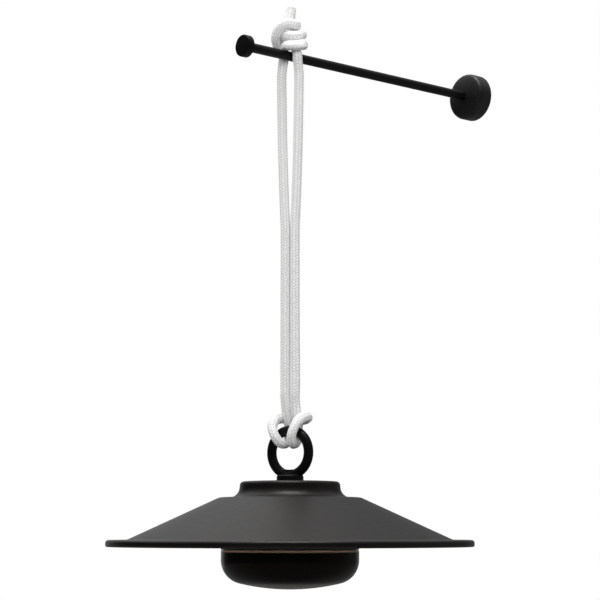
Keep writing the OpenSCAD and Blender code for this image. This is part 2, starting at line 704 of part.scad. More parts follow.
module cup_screws() {
    color("gray") at_lamp() for (turn = [30, 150, 270]) facing(turn)
        translate([0, collar_r - 2.2, cup_screw_z]) rotate([-90, 0, 0]) difference() {
            cylinder(d = set_screw_d - 0.1, h = body_r - collar_r + 1.9);
            translate([0, 0, body_r - collar_r + 0.6]) cylinder(d = 1.6, h = 3, $fn = 6);
        }
}

wall_plate();
wall_cover();
cover_screw();
support_rod();
rod_set_screw();
rod_stop();
rope_knot();
rope_loop();
eye_ring();
eye_seal();
eye_washer();
eye_nut();
shade();
shade_gasket();
upper_housing();
driver_board();
board_screws();
usb_port();
power_switch();
power_button();
port_cover();
battery_cells();
cell_tabs();
cell_pad();
battery_cradle();
cradle_screws();
battery_leads();
led_leads();
heat_spreader();
led_board();
led_chips();
led_screws();
glass_cup();
cup_seal();
cup_screws();
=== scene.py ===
"""Looks for the hanging outdoor lamp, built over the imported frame. Metres, Z up, +Y into the wall."""
import json
import math

import bmesh
import bpy
import numpy as np
from mathutils import Matrix, Vector


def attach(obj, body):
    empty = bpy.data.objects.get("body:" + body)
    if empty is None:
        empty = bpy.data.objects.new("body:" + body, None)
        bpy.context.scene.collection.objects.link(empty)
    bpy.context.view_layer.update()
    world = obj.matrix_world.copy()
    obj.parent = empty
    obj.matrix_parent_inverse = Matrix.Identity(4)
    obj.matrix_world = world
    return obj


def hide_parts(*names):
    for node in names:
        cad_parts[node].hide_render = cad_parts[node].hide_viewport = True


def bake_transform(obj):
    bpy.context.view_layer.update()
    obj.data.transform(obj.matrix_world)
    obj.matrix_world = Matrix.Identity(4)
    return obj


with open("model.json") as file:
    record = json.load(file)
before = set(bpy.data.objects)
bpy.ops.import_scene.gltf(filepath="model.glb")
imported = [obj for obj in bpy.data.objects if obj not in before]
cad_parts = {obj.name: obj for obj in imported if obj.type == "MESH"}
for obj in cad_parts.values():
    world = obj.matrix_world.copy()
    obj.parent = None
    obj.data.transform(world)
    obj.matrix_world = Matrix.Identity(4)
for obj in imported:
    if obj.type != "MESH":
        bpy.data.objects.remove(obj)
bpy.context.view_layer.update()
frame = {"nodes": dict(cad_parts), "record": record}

MM = 0.001

# Sizes that several pieces share, as in the CAD source (mm, and degrees for RING_TILT)
HANG_Y = -225.0
BAR_Z = -316.0
LIP_Z = -411.0
ROD_R = 4.0
ROPE_D = 7.6
RING_R = 18.3
RING_TURN = math.radians(15)
RING_TILT = 25
CONTROL_Z = 46.0

# The lamp's frame stands on the lower edge of the lip. The bracket's runs from the wall out along the rod
AT_LAMP = Matrix.Translation((0, HANG_Y * MM, LIP_Z * MM))
ALONG_ROD = Matrix.Rotation(math.radians(90), 4, "X")


def add_camera():
    """The camera, at the photograph's place and angle."""
    data = bpy.data.cameras.new("camera")
    data.sensor_width = 36.0
    data.lens = 105.1
    data.clip_start = 0.05
    data.clip_end = 60.0
    camera = bpy.data.objects.new("camera", data)
    camera.location = (1.1010, -1.1576, -0.3984)
    camera.rotation_euler = (math.radians(90 + 7.52), 0.0, math.radians(49.41))
    bpy.context.scene.collection.objects.link(camera)
    bpy.context.scene.camera = camera


add_camera()


# Mesh helpers
def make_mesh(name, verts, faces, smooth=True):
    mesh = bpy.data.meshes.new(name)
    mesh.from_pydata([tuple(v) for v in verts], [], [tuple(f) for f in faces])
    mesh.validate()
    if smooth:
        mesh.shade_smooth()
    obj = bpy.data.objects.new(name, mesh)
    bpy.context.scene.collection.objects.link(obj)
    return obj


def face_outwards(obj, round_edge=0.0):
    """Turns every face outwards and, where asked, rounds every edge by that radius (mm)."""
    bm = bmesh.new()
    bm.from_mesh(obj.data)
    bmesh.ops.recalc_face_normals(bm, faces=bm.faces)
    if round_edge > 0:
        bmesh.ops.bevel(bm, geom=bm.edges[:], offset=round_edge * MM, segments=4, profile=0.5,
                        affect="EDGES")
    bm.to_mesh(obj.data)
    bm.free()


def sharpen(obj, degrees):
    """Smooth shading that breaks at edges sharper than the angle."""
    obj.data.shade_smooth()
    obj.data.set_sharp_from_angle(angle=math.radians(degrees))


def apply_modifiers(obj):
    bpy.context.view_layer.update()
    deps = bpy.context.evaluated_depsgraph_get()
    mesh = bpy.data.meshes.new_from_object(obj.evaluated_get(deps))
    obj.modifiers.clear()
    obj.data = mesh


def boolean(obj, other, kind):
    """Cuts, joins or crosses obj with other, and removes other."""
    cut = obj.modifiers.new("cut", "BOOLEAN")
    cut.operation = kind
    cut.solver = "EXACT"
    cut.object = other
    apply_modifiers(obj)
    bpy.data.objects.remove(other)


def rounded(corners, steps):
    """The line through corners (x, y, radius), with an arc of its radius at each inner one (mm)."""
    nearly_straight = math.radians(89.5)
    points = [np.array(corner[:2], float) for corner in corners]
    line = [tuple(points[0])]
    for i in range(1, len(corners) - 1):
        corner = points[i]
        radius = corners[i][2]
        back = (points[i - 1] - corner) / np.linalg.norm(points[i - 1] - corner)
        onward = (points[i + 1] - corner) / np.linalg.norm(points[i + 1] - corner)
        half = math.acos(max(-1.0, min(1.0, float(back @ onward)))) / 2
        if radius <= 0 or half > nearly_straight:
            line.append(tuple(corner))
            continue
        cut = radius / math.tan(half)
        centre = corner + (back + onward) / np.linalg.norm(back + onward) * radius / math.sin(half)
        start = corner + back * cut - centre
        end = corner + onward * cut - centre
        turn = math.atan2(start[0] * end[1] - start[1] * end[0], float(start @ end))
        for k in range(steps + 1):
            t = turn * k / steps
            line.append((centre[0] + start[0] * math.cos(t) - start[1] * math.sin(t),
                         centre[1] + start[0] * math.sin(t) + start[1] * math.cos(t)))
    line.append(tuple(points[-1]))
    return line


def lathe(name, profile, place, segments=160, closed=False):
    """A profile of (radius, height) in mm turned about local Z. A closed one ends where it starts."""
    verts = []
    rows = []
    for radius, height in profile:
        if radius < 1e-6:
            rows.append([len(verts)] * segments)
            verts.append(Vector((0, 0, height * MM)))
        else:
            rows.append(list(range(len(verts), len(verts) + segments)))
            for k in range(segments):
                a = 2 * math.pi * k / segments
                verts.append(Vector((radius * math.cos(a) * MM, radius * math.sin(a) * MM, height * MM)))
    next_rows = rows[1:] + rows[:1] if closed else rows[1:]
    faces = []
    for low, high in zip(rows, next_rows):
        for k in range(segments):
            n = (k + 1) % segments
            face = list(dict.fromkeys((low[k], low[n], high[n], high[k])))
            if len(face) > 2:
                faces.append(face)
    obj = make_mesh(name, [place @ v for v in verts], faces)
    face_outwards(obj)
    return obj


def facing(turn):
    """The lamp's frame, turned about its axis so that +Y points outwards at that angle (degrees)."""
    return AT_LAMP @ Matrix.Rotation(math.radians(turn - 90), 4, "Z")


def block(name, x_span, y_span, half_height, turn, round_edge=0.0):
    """A box at the height of the controls, with +Y pointing out of the lamp (mm)."""
    z_span = (CONTROL_Z - half_height, CONTROL_Z + half_height)
    verts = [Vector((x, y, z)) * MM for x in x_span for y in y_span for z in z_span]
    faces = [(0, 1, 3, 2), (4, 6, 7, 5), (0, 4, 5, 1), (2, 3, 7, 6), (0, 2, 6, 4), (1, 5, 7, 3)]
    place = facing(turn)
    obj = make_mesh(name, [place @ v for v in verts], faces, smooth=False)
    face_outwards(obj, round_edge)
    return obj


def peg(name, radius, low, high, turn, z, edge=0.0):
    """A round bar that points out of the lamp at height z, from low to high (mm)."""
    profile = [(0, low), (radius, low), (radius, high - edge), (radius - edge, high), (0, high)]
    place = facing(turn) @ Matrix.Translation((0, 0, z * MM))
    return lathe(name, profile, place @ Matrix.Rotation(math.radians(-90), 4, "X"), 64)


# Node trees
class Tree:
    """Short calls that add nodes to a tree."""

    def __init__(self, tree):
        self.tree = tree
        self.coords = self.add("ShaderNodeTexCoord")

    def add(self, kind, **settings):
        node = self.tree.nodes.new(kind)
        for key, value in settings.items():
            setattr(node, key, value)
        return node

    def link(self, out, into):
        self.tree.links.new(out, into)

    def ramp(self, value, low, high, at_low, at_high, kind="LINEAR"):
        """Runs from at_low to at_high while the value runs from low to high, and stays there beyond."""
        node = self.add("ShaderNodeMapRange", interpolation_type=kind)
        for key, number in (("From Min", low), ("From Max", high), ("To Min", at_low), ("To Max", at_high)):
            node.inputs[key].default_value = number
        self.link(value, node.inputs["Value"])
        return node.outputs["Result"]

    def maths(self, kind, a, b):
        node = self.add("ShaderNodeMath", operation=kind)
        self.link(a, node.inputs[0])
        self.link(b, node.inputs[1])
        return node.outputs["Value"]


class Surface(Tree):
    """One material's tree, around its Principled shader."""

    def __init__(self, name):
        self.material = bpy.data.materials.new(name)
        self.material.use_nodes = True
        super().__init__(self.material.node_tree)
        self.shader = self.tree.nodes["Principled BSDF"]
        self.point = self.coords.outputs["Object"]

    def fix(self, socket, value):
        self.shader.inputs[socket].default_value = value

    def feed(self, socket, out):
        self.link(out, self.shader.inputs[socket])

    def height(self):
        """The point's height (m)."""
        split = self.add("ShaderNodeSeparateXYZ")
        self.link(self.point, split.inputs["Vector"])
        return split.outputs["Z"]

    def noise(self, scale, detail=3.0, rough=0.55, stretch=None, point=None):
        node = self.add("ShaderNodeTexNoise")
        node.inputs["Scale"].default_value = scale
        node.inputs["Detail"].default_value = detail
        node.inputs["Roughness"].default_value = rough
        if point is None:
            point = self.point
        if stretch:
            mapping = self.add("ShaderNodeMapping")
            mapping.inputs["Scale"].default_value = stretch
            self.link(point, mapping.inputs["Vector"])
            point = mapping.outputs["Vector"]
        self.link(point, node.inputs["Vector"])
        return node.outputs["Fac"]

    def spread(self, noise, low=0.0, high=1.0):
        """Noise lies mostly between 0.3 and 0.7, and this spreads it from low to high."""
        return self.ramp(noise, 0.3, 0.7, low, high)

    def mix(self, share, a, b):
        node = self.add("ShaderNodeMix", data_type="RGBA")
        for key, value in (("A", a), ("B", b)):
            socket = [s for s in node.inputs if s.name == key and s.type == "RGBA"][0]
            if isinstance(value, tuple):
                socket.default_value = (*value, 1.0)
            else:
                self.link(value, socket)
        self.link(share, node.inputs[0])
        return [s for s in node.outputs if s.type == "RGBA"][0]

    def bump(self, height, strength, distance):
        node = self.add("ShaderNodeBump")
        node.inputs["Strength"].default_value = strength
        node.inputs["Distance"].default_value = distance
        self.link(height, node.inputs["Height"])
        self.feed("Normal", node.outputs["Normal"])


# Procedural materials
def coat(name, colour, rough, grain=1400.0, depth=0.00003, spec=0.5, spread=0.12, worn=0.0, patchy=0.05,
         tint=None):
    """A painted, moulded or plain surface: fine grain, soft mottling, uneven gloss and worn edges."""
    surface = Surface(name)
    darker = tuple(c * (1 - spread) for c in colour)
    lighter = tuple(min(1.0, c * (1 + spread)) for c in colour)
    base = surface.mix(surface.spread(surface.noise(60.0, 4.0)), darker, lighter)
    if worn > 0:
        edge = surface.add("ShaderNodeNewGeometry").outputs["Pointiness"]
        rubbed = tuple(min(1.0, c * 2.0 + 0.008) for c in colour)
        base = surface.mix(surface.ramp(edge, 0.53, 0.60, 0.0, worn), base, rubbed)
    surface.feed("Base Color", base)
    surface.feed("Roughness", surface.spread(surface.noise(220.0), rough - patchy, rough + patchy))
    surface.fix("Specular IOR Level", spec)
    if tint:
        surface.fix("Specular Tint", (*tint, 1.0))
    surface.bump(surface.noise(grain, 2.0), 0.6, depth)
    return surface.material


def brushed(name, colour, rough, stretch=(40.0, 40.0, 2200.0)):
    """Bare metal with fine lines."""
    surface = Surface(name)
    lines = surface.noise(1.0, 3.0, 0.6, stretch)
    surface.feed("Base Color", surface.mix(surface.spread(lines), tuple(c * 0.85 for c in colour), colour))
    surface.feed("Roughness", surface.spread(lines, rough - 0.06, rough + 0.08))
    surface.fix("Metallic", 1.0)
    surface.bump(lines, 0.3, 0.00001)
    return surface.material


def rope_material():
    """White braided polyester: plump bright stitches in columns and fine fibres, with painted shade: the
    grooves between the stitches are painted grey, a lighter grey in the knot and the hitch.
    """
    surface = Surface("rope_white")
    fibre = surface.noise(6.0, 3.0, 0.5, (60.0, 500.0, 1.0), surface.coords.outputs["UV"])
    white = surface.mix(fibre, (0.86, 0.86, 0.86), (0.93, 0.93, 0.92))
    height = surface.height()
    # Where the grooves' painted shade is lighter: the knot above the rod and the hitch over the ring's bar
    in_knot = surface.ramp(height, -0.012, 0.006, 0.0, 1.0)
    in_hitch = surface.ramp(height, (BAR_Z + 34) * MM, (BAR_Z + 12) * MM, 0.0, 1.0)
    # Painted shade: the grooves are painted grey, lighter grey in the knot and the hitch
    groove = surface.mix(in_knot, (0.60, 0.598, 0.594), (0.66, 0.657, 0.65))
    groove = surface.mix(in_hitch, groove, (0.66, 0.656, 0.65))
    stitch = surface.add("ShaderNodeAttribute", attribute_name="braid").outputs["Fac"]
    # Painted shade: where the stitches stand low the colour goes to the painted groove grey
    surface.feed("Base Color", surface.mix(surface.ramp(stitch, 0.25, 0.85, 0.0, 1.0), groove, white))
    surface.fix("Roughness", 0.62)
    surface.fix("Specular IOR Level", 0.35)
    surface.fix("Sheen Weight", 0.25)
    surface.fix("Sheen Roughness", 0.4)
    surface.bump(fibre, 0.35, 0.00005)
    return surface.material


def cup_material():
    """Near-black smoked plastic, polished. Painted light: a brown reflection painted low on the corner and a
    bright brown highlight painted along the top rim.
    """
    surface = Surface("smoked_cup")
    height = surface.height()
    # Painted reflection: a brown band painted low on the cup's corner
    painted_reflection_low = surface.ramp(height, (LIP_Z - 28.0) * MM, (LIP_Z - 33.0) * MM, 0.0, 1.0)
    # Painted highlight: a bright brown line painted along the top rim, under the shade's lip
    painted_highlight_rim = surface.ramp(height, (LIP_Z - 4.6) * MM, (LIP_Z - 2.9) * MM, 0.0, 1.0)
    cloud = surface.ramp(surface.noise(25.0, 2.0), 0.35, 0.65, 0.0, 1.0)
    base = surface.mix(cloud, (0.0025, 0.0022, 0.002), (0.004, 0.0034, 0.003))
    # Painted light over the base colour: the brown reflection low on the corner, then the bright highlight
    # along the top rim
    base = surface.mix(painted_reflection_low, base, (0.060, 0.036, 0.012))
    base = surface.mix(painted_highlight_rim, base, (0.85, 0.60, 0.42))
    surface.feed("Base Color", base)
    surface.feed("Roughness", surface.spread(surface.noise(400.0, 2.0), 0.20, 0.28))
    surface.fix("Specular IOR Level", 0.12)
    surface.fix("Specular Tint", (1.0, 0.86, 0.72, 1.0))
    surface.bump(surface.noise(90.0, 2.0), 0.15, 0.00002)
    return surface.material


# Colour, roughness, the grain's fineness and depth, gloss, then what is special to one
COATS = {
    "black_coat": ((0.0020, 0.0020, 0.0021), 0.38, 1600.0, 0.00003, 0.25, {"worn": 0.25}),
    "cover_coat": ((0.0030, 0.0030, 0.0031), 0.46, 1600.0, 0.00003, 0.65, {"worn": 0.15}),
    "cast_ring": ((0.0022, 0.0022, 0.0024), 0.36, 900.0, 0.00005, 0.22, {"worn": 0.15}),
    "shade_coat": ((0.0022, 0.0019, 0.0017), 0.42, 2200.0, 0.00002, 0.42,
                   {"spread": 0.06, "worn": 0.08, "patchy": 0.018, "tint": (1.0, 0.97, 0.92)}),
    "seal_rubber": ((0.012, 0.012, 0.012), 0.75, 1200.0, 0.00004, 0.3, {}),
    "housing_plastic": ((0.012, 0.012, 0.0125), 0.55, 1800.0, 0.00004, 0.4, {}),
    "board_green": ((0.012, 0.10, 0.035), 0.35, 700.0, 0.00002, 0.5, {}),
    "board_white": ((0.78, 0.78, 0.76), 0.45, 700.0, 0.00002, 0.5, {}),
    "switch_black": ((0.02, 0.02, 0.02), 0.5, 1400.0, 0.00003, 0.5, {}),
    "button_rubber": ((0.018, 0.018, 0.0185), 0.62, 1500.0, 0.00003, 0.35, {}),
    "cell_wrap": ((0.03, 0.12, 0.35), 0.28, 300.0, 0.00003, 0.5, {}),
    "foam": ((0.12, 0.12, 0.12), 0.9, 900.0, 0.0002, 0.2, {}),
    "cradle_plastic": ((0.62, 0.62, 0.60), 0.5, 1500.0, 0.00003, 0.45, {}),
    "lead_red": ((0.45, 0.02, 0.015), 0.4, 900.0, 0.00002, 0.5, {}),
    "led_yellow": ((0.75, 0.60, 0.12), 0.35, 900.0, 0.00001, 0.5, {}),
}
MATERIALS = {name: coat(name, *look, **special) for name, (*look, special) in COATS.items()}
MATERIALS["zinc_plate"] = brushed("zinc_plate", (0.60, 0.60, 0.61), 0.38)
MATERIALS["plain_steel"] = brushed("plain_steel", (0.66, 0.65, 0.64), 0.30)
MATERIALS["nickel"] = brushed("nickel", (0.72, 0.70, 0.66), 0.32)
MATERIALS["spreader_metal"] = brushed("spreader_metal", (0.78, 0.79, 0.80), 0.35, (2200.0, 40.0, 40.0))
MATERIALS["rope"] = rope_material()
MATERIALS["smoked_cup"] = cup_material()

SLOT_OF = {part["node"]: part["material_slot"] for part in frame["record"]["subparts"]}
BODY_OF = {node: body for body, nodes in frame["record"]["behaviour"]["bodies"].items() for node in nodes}

for node, obj in frame["nodes"].items():
    for slot in obj.material_slots:
        slot.material = MATERIALS[SLOT_OF[node]]
    if not obj.material_slots:
        obj.data.materials.append(MATERIALS[SLOT_OF[node]])


def finish_piece(obj, node, ride=True):
    """The piece stands for a CAD node: it takes the material of the node's slot, rides on the node's body
    unless ride is off, and the node is hidden.
    """
    obj.data.materials.clear()
    obj.data.materials.append(MATERIALS[SLOT_OF[node]])
    if ride:
        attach(obj, BODY_OF[node])
    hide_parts(node)


# Rope: the route of the CAD source, in the knot's frame above the rod and in the bar's frame below it (mm)
FRONT_RUN = [(-2, 3, 43.6), (-2.4, 1.8, 37), (-3.8, -0.2, 30.6), (-3.6, 0.2, 24.6), (-0.2, 2.4, 19.6),
             (3.2, 1.6, 14.4), (4.2, 0.8, 8.8), (7, 0.2, 4.6), (8.8, 0.4, -0.4), (8.8, 0.4, -4)]
WRAP_RUN = [(-8.8, -0.4, -4), (-9, 0, 0), (-5.8, -2.6, 6), (-0.2, -6.2, 8.4), (7.2, -8, 6.8),
            (13.4, -5.2, 6), (15, 0.8, 7.6), (10.2, 6.8, 9.6), (3.4, 9.6, 11.2), (-2.2, 7.6, 12.2),
            (-6, 2.8, 13.4), (-5, -2.8, 15.6), (0.8, -6.4, 16.6), (7.6, -6.6, 15.2), (11.4, -2.6, 14.8),
            (11.6, 3.4, 17.2), (5.6, 9.2, 19.2), (-3.4, 11, 19.8), (-11.8, 7.6, 17.2), (-14.4, 1.2, 12.8),
            (-11.4, -6.6, 11.6), (-6.4, -12.2, 15.6), (-1.4, -13.2, 21.2), (2.8, -11.6, 25), (5.2, -7, 26.4),
            (5.8, -1.2, 26.4), (2.8, 5.2, 27.6), (-4.2, 8.4, 28.6), (-8.8, 8.2, 32.8), (-9.2, 8, 38),
            (-8.4, 8, 42)]
FRONT_SIDE = [(8.8, 0, 301), (8.8, 0, 291), (8, 0, 248), (6.6, 0, 206), (5.6, 0, 184), (4.8, 0, 165),
              (4.8, 0, 100), (5.2, 0, 40), (4.6, -0.4, 27), (3.2, -3.6, 15), (2.4, -8, 4.4),
              (2.6, -7.8, -5.6), (4, -1.6, -10.6), (5.8, 5.6, -10.4), (8, 9.6, -4.6), (10.2, 8.2, 2.4),
              (11.2, 3.1, 8.2), (11.3, -4.9, 10.8), (8.8, -12.4, 10.8), (3.8, -16.2, 9.9)]
BACK_SIDE = [(-8.8, 0, 301), (-8.8, 0, 291), (-8, 0, 248), (-6.6, 0, 206), (-5.6, 0, 184),
             (-4.8, 0, 165), (-4.8, 0, 100), (-4.8, 0, 40), (-5, -0.4, 27), (-5.6, -3.8, 15),
             (-6.2, -8.2, 4.4), (-6.4, -8.6, -4.6), (-5.6, -2.4, -10.4), (-6.2, 5.4, -10.4),
             (-8.4, 9.8, -5), (-12, 8.4, 2.2), (-13.8, 3, 8), (-14.2, -5, 10.4), (-11.8, -12.4, 10.8),
             (-6.6, -16, 9.8)]
SIDE_MIDDLE = (-1.4, -17, 9.4)

# The rope's surface: columns of stitches that stand above grooves, on rings of points along the route (mm)
RING_POINTS = 56
RING_STEP = 0.36
STITCH_COLUMNS = 8
STITCH_LENGTH = 2.45
GROOVE_DEPTH = 0.42
STITCH_HEIGHT = 0.62
# In the knot and the hitch the stitches are pressed lower and the rope is plumper, as it presses on itself.
# It keeps its size where its middle is within PLUMP_AWAY of the middle of the rod or of the ring's bar.
PRESSED_BY = 0.12
KNOT_PLUMP = 0.55
HITCH_PLUMP = 0.60
STRAND_PLUMP = 0.12
STRAND_AWAY = 8.4
PLUMP_AWAY = 8.5
PLUMP_RUN = 1.6
# The knot starts just under the rod and the hitch above the ring's bar, each over a short height
KNOT_FROM = (-6.0, -2.0)
HITCH_FROM = (BAR_Z + 26.0, BAR_Z + 18.0)
# Sideways squeeze of the knot, the heights over which it sets in, and those over which it ends
KNOT_SQUEEZE = 0.09
SQUEEZE_FROM = (3.0, 9.0)
SQUEEZE_TO = (38.0, 30.0)
# Both ends are melted. The plumpness fades over TAIL, and the braid over END_FADE into a plain surface that
# lies END_FILL above the grooves. Over END_ROUND the radius goes down to its END_SHARE.
TAIL = 20.0
END_FADE = 3.0
END_FILL = 0.3
END_ROUND = 1.4
END_SHARE = 0.62


def at_knot(p):
    return (p[0], p[1] + HANG_Y, p[2])


def at_bar(u, n, w):
    """A point u sideways in the ring's plane, n in front of it and w above its bar."""
    c, s = math.cos(RING_TURN), math.sin(RING_TURN)
    return (u * c + n * s, u * s - n * c + HANG_Y, w + BAR_Z)


def rise(value, start, full):
    """0 up to start, 1 from full on, and even between. It falls where full is the lower one."""
    return np.clip((value - start) / (full - start), 0, 1)


def eased(share):
    """A share from 0 to 1 with a soft start and a soft end."""
    return share ** 2 * (3 - 2 * share)


def smooth_path(points, step):
    """A Catmull-Rom curve through the points at an even step, eased of small kinks, and its length (mm)."""
    p = np.array(points, float)
    q = np.vstack([2 * p[0] - p[1], p, 2 * p[-1] - p[-2]])
    dense = []
    points_between = 24
    for i in range(len(p) - 1):
        a, b, c, d = q[i:i + 4]
        for t in np.linspace(0, 1, points_between, endpoint=False):
            dense.append(0.5 * (2 * b + (c - a) * t + (2 * a - 5 * b + 4 * c - d) * t ** 2
                                + (3 * b - a - 3 * c + d) * t ** 3))
    dense = np.array(dense + [p[-1]])
    run = np.concatenate([[0], np.cumsum(np.linalg.norm(np.diff(dense, axis=0), axis=1))])
    count = int(round(run[-1] / step))
    at = np.linspace(0, run[-1], count + 1)
    path = np.stack([np.interp(at, run, dense[:, k]) for k in range(3)], axis=1)
    ease_passes = 24
    for _ in range(ease_passes):
        path[1:-1] = (path[:-2] + 2 * path[1:-1] + path[2:]) / 4
    return path, float(np.linalg.norm(np.diff(path, axis=0), axis=1).sum())


def normals_along(path):
    """Two unit normals at each point of the path, which don't twist about it."""
    tangents = np.gradient(path, axis=0)
    tangents /= np.linalg.norm(tangents, axis=1)[:, None]
    normal = np.cross(tangents[0], [0.3, 1.0, 0.2])
    normals = []
    for tangent in tangents:
        normal = normal - (normal @ tangent) * tangent
        normal = normal / np.linalg.norm(normal)
        normals.append(normal)
    normals = np.array(normals)
    return normals, np.cross(tangents, normals)


def braid(u, v):
    """Height from 0 to 1 of the braid: columns of plump stitches, each half a stitch from its neighbours.

    The stitches of neighbouring columns lean apart.
    """
    column = np.floor(u)
    odd = np.mod(column, 2)
    across = u - column - 0.5
    along = np.mod(v + 0.5 * odd + (0.55 - 1.1 * odd) * across, 1.0) - 0.5
    across_height = np.clip(1 - np.abs(2 * across) ** 2.4, 0, 1)
    along_height = np.clip(1 - np.abs(2 * along) ** 2.0, 0, 1)
    return np.sqrt(across_height * along_height)


def distance_to_bar(points):
    """Least distance of each point to the middle of the ring's bar, at rest and at both ends of its tilt."""
    least = np.full(len(points), np.inf)
    for tilt in (-RING_TILT, 0, RING_TILT):
        c, s = math.cos(math.radians(tilt)), math.sin(math.radians(tilt))
        for a in np.radians(np.arange(0, 360, 5)):
            side = RING_R * math.sin(a)
            up = RING_R * (math.cos(a) - 1)
            on_ring = np.array(at_bar(side, -up * s, up * c))
            least = np.minimum(least, np.linalg.norm(points - on_ring, axis=1))
    return least


def rope_radius(path, end, height, fade):
    """The radius at each point of the surface, given each ring's distance from the nearer end."""
    level = path[:, 2]
    rod_away = np.hypot(path[:, 0], level)
    above_rod = rise(level, *KNOT_FROM)
    in_knot = above_rod * rise(end, 0, TAIL)
    in_hitch = rise(level, *HITCH_FROM)
    plump = KNOT_PLUMP * in_knot * rise(rod_away, PLUMP_AWAY, PLUMP_AWAY + PLUMP_RUN)
    plump += HITCH_PLUMP * in_hitch * rise(distance_to_bar(path), PLUMP_AWAY, PLUMP_AWAY + PLUMP_RUN)
    plump += STRAND_PLUMP * (1 - in_hitch) * (rod_away > STRAND_AWAY)
    relief = STITCH_HEIGHT - PRESSED_BY * np.maximum(above_rod, in_hitch)[:, None]
    groove = ROPE_D / 2 - GROOVE_DEPTH + plump[:, None] + 0.5 * (STITCH_HEIGHT - relief)
    plain = END_FILL * (1 - fade)
    closing = rise(end, 0, END_ROUND)
    share = END_SHARE + (1 - END_SHARE) * np.sqrt(1 - (1 - closing) ** 2)
    return (groove + relief * height * fade + plain) * share[:, None]


def squeeze_knot(points):
    """Pulls the knot's turns together sideways, as a tight knot's are, but not at the rod or the tails."""
    level = points[:, 2]
    weight = KNOT_SQUEEZE * eased(rise(level, *SQUEEZE_FROM)) * eased(rise(level, *SQUEEZE_TO))
    knot_middle = np.array([-1.0, HANG_Y + 1.0])
    squeezed = points.copy()
    squeezed[:, :2] += (knot_middle - points[:, :2]) * weight[:, None]
    return squeezed


def tube_faces(count, sides):
    """Quads between rings of points, and a fan at each end round a point that comes after all rings."""
    i = np.arange(count - 1)[:, None] * sides
    k = np.arange(sides)[None, :]
    n = (k + 1) % sides
    quads = np.stack([i + k, i + sides + k, i + sides + n, i + n], axis=2).reshape(-1, 4)
    last = (count - 1) * sides
    first_cap = np.stack([k[0], n[0], np.full(sides, count * sides)], axis=1)
    last_cap = np.stack([last + n[0], last + k[0], np.full(sides, count * sides + 1)], axis=1)
    return quads.tolist() + first_cap.tolist() + last_cap.tolist()


def build_rope():
    """The braided rope as one mesh, its centreline and its length (m)."""
    loop = [at_bar(*p) for p in FRONT_SIDE + [SIDE_MIDDLE] + BACK_SIDE[::-1]]
    route = [at_knot(p) for p in FRONT_RUN] + loop + [at_knot(p) for p in WRAP_RUN]
    path, length = smooth_path(route, RING_STEP)
    normals, binormals = normals_along(path)
    count = len(path)
    along = np.arange(count) * length / (count - 1)
    end = np.minimum(along, length - along)
    fade = rise(end, 0, END_FADE)[:, None]
    u = (np.arange(RING_POINTS) + 0.5) / RING_POINTS
    height = braid(u[None, :] * STITCH_COLUMNS, along[:, None] / STITCH_LENGTH)
    radius = rope_radius(path, end, height, fade)
    angle = 2 * math.pi * u
    outwards = (np.cos(angle)[None, :, None] * normals[:, None, :]
                + np.sin(angle)[None, :, None] * binormals[:, None, :])
    verts = (path[:, None, :] + radius[:, :, None] * outwards).reshape(-1, 3)
    verts = np.vstack([verts, path[0], path[-1]])
    verts = squeeze_knot(verts) * MM
    obj = make_mesh("rope", verts.tolist(), tube_faces(count, RING_POINTS))
    face_outwards(obj)

    stitches = np.concatenate([(height * fade).ravel(), [0.5, 0.5]])
    obj.data.attributes.new("braid", "FLOAT", "POINT").data.foreach_set("value", stitches)
    vert_uv = np.zeros((len(verts), 2))
    vert_uv[:count * RING_POINTS, 0] = np.tile(u, count)
    vert_uv[:count * RING_POINTS, 1] = np.repeat(along / length, RING_POINTS)
    vert_uv[-1, 1] = 1.0
    loops = np.empty(len(obj.data.loops), int)
    obj.data.loops.foreach_get("vertex_index", loops)
    obj.data.uv_layers.new(name="UVMap").data.foreach_set("uv", vert_uv[loops].ravel())
    return obj, (path * MM).tolist(), length * MM


rope, rope_path, rope_length = build_rope()
finish_piece(rope, "rope_knot", ride=False)
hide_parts("rope_loop")
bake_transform(rope)


# Shade: the CAD's section with the soft corners of spun sheet and a rolled hem inside the lip (mm)
SHEET = 1.5
STUD_HOLE_R = 4.2
HUB_TOP_R = 40.9
HUB_FOOT_R = 42.0
HUB_Z = 53.0
SHOULDER_R = 58.0
SHOULDER_Z = 40.0
FOOT_R = 133.0
RIM_Z = 5.6
SHADE_R = 150.0
HEM_W = 3.4
HEM_Z = 2.6
PORT_TURN = 150
BUTTON_TURN = 120
BUTTON_FOOT = 35.4
THROUGH = (20, 50)


def shade_body(name):
    slope = math.atan((SHOULDER_Z - RIM_Z) / (FOOT_R - SHOULDER_R))
    knee = SHEET * math.tan(slope / 2)
    lip_in = SHADE_R - SHEET
    outside = [(STUD_HOLE_R, HUB_Z, 0), (HUB_TOP_R, HUB_Z, 3.2), (HUB_FOOT_R, SHOULDER_Z, 8.6),
               (SHOULDER_R, SHOULDER_Z, 7.0), (FOOT_R, RIM_Z, 12.0), (SHADE_R, RIM_Z, 2.6),
               (SHADE_R, 0, 1.65), (SHADE_R - HEM_W, 0, 1.6), (SHADE_R - HEM_W, HEM_Z, 0)]
    inside = [(lip_in - 0.6, HEM_Z, 0), (lip_in, 3.0, 0), (lip_in, RIM_Z - SHEET, 0.8),
              (FOOT_R - knee, RIM_Z - SHEET, 11.0), (SHOULDER_R - knee, SHOULDER_Z - SHEET, 6.0),
              (HUB_FOOT_R - SHEET, SHOULDER_Z - SHEET, 8.5), (HUB_TOP_R - SHEET, HUB_Z - SHEET, 1.3),
              (STUD_HOLE_R, HUB_Z - SHEET, 0)]
    return lathe(name, rounded(outside, 10) + rounded(inside, 8), AT_LAMP, 288, closed=True)


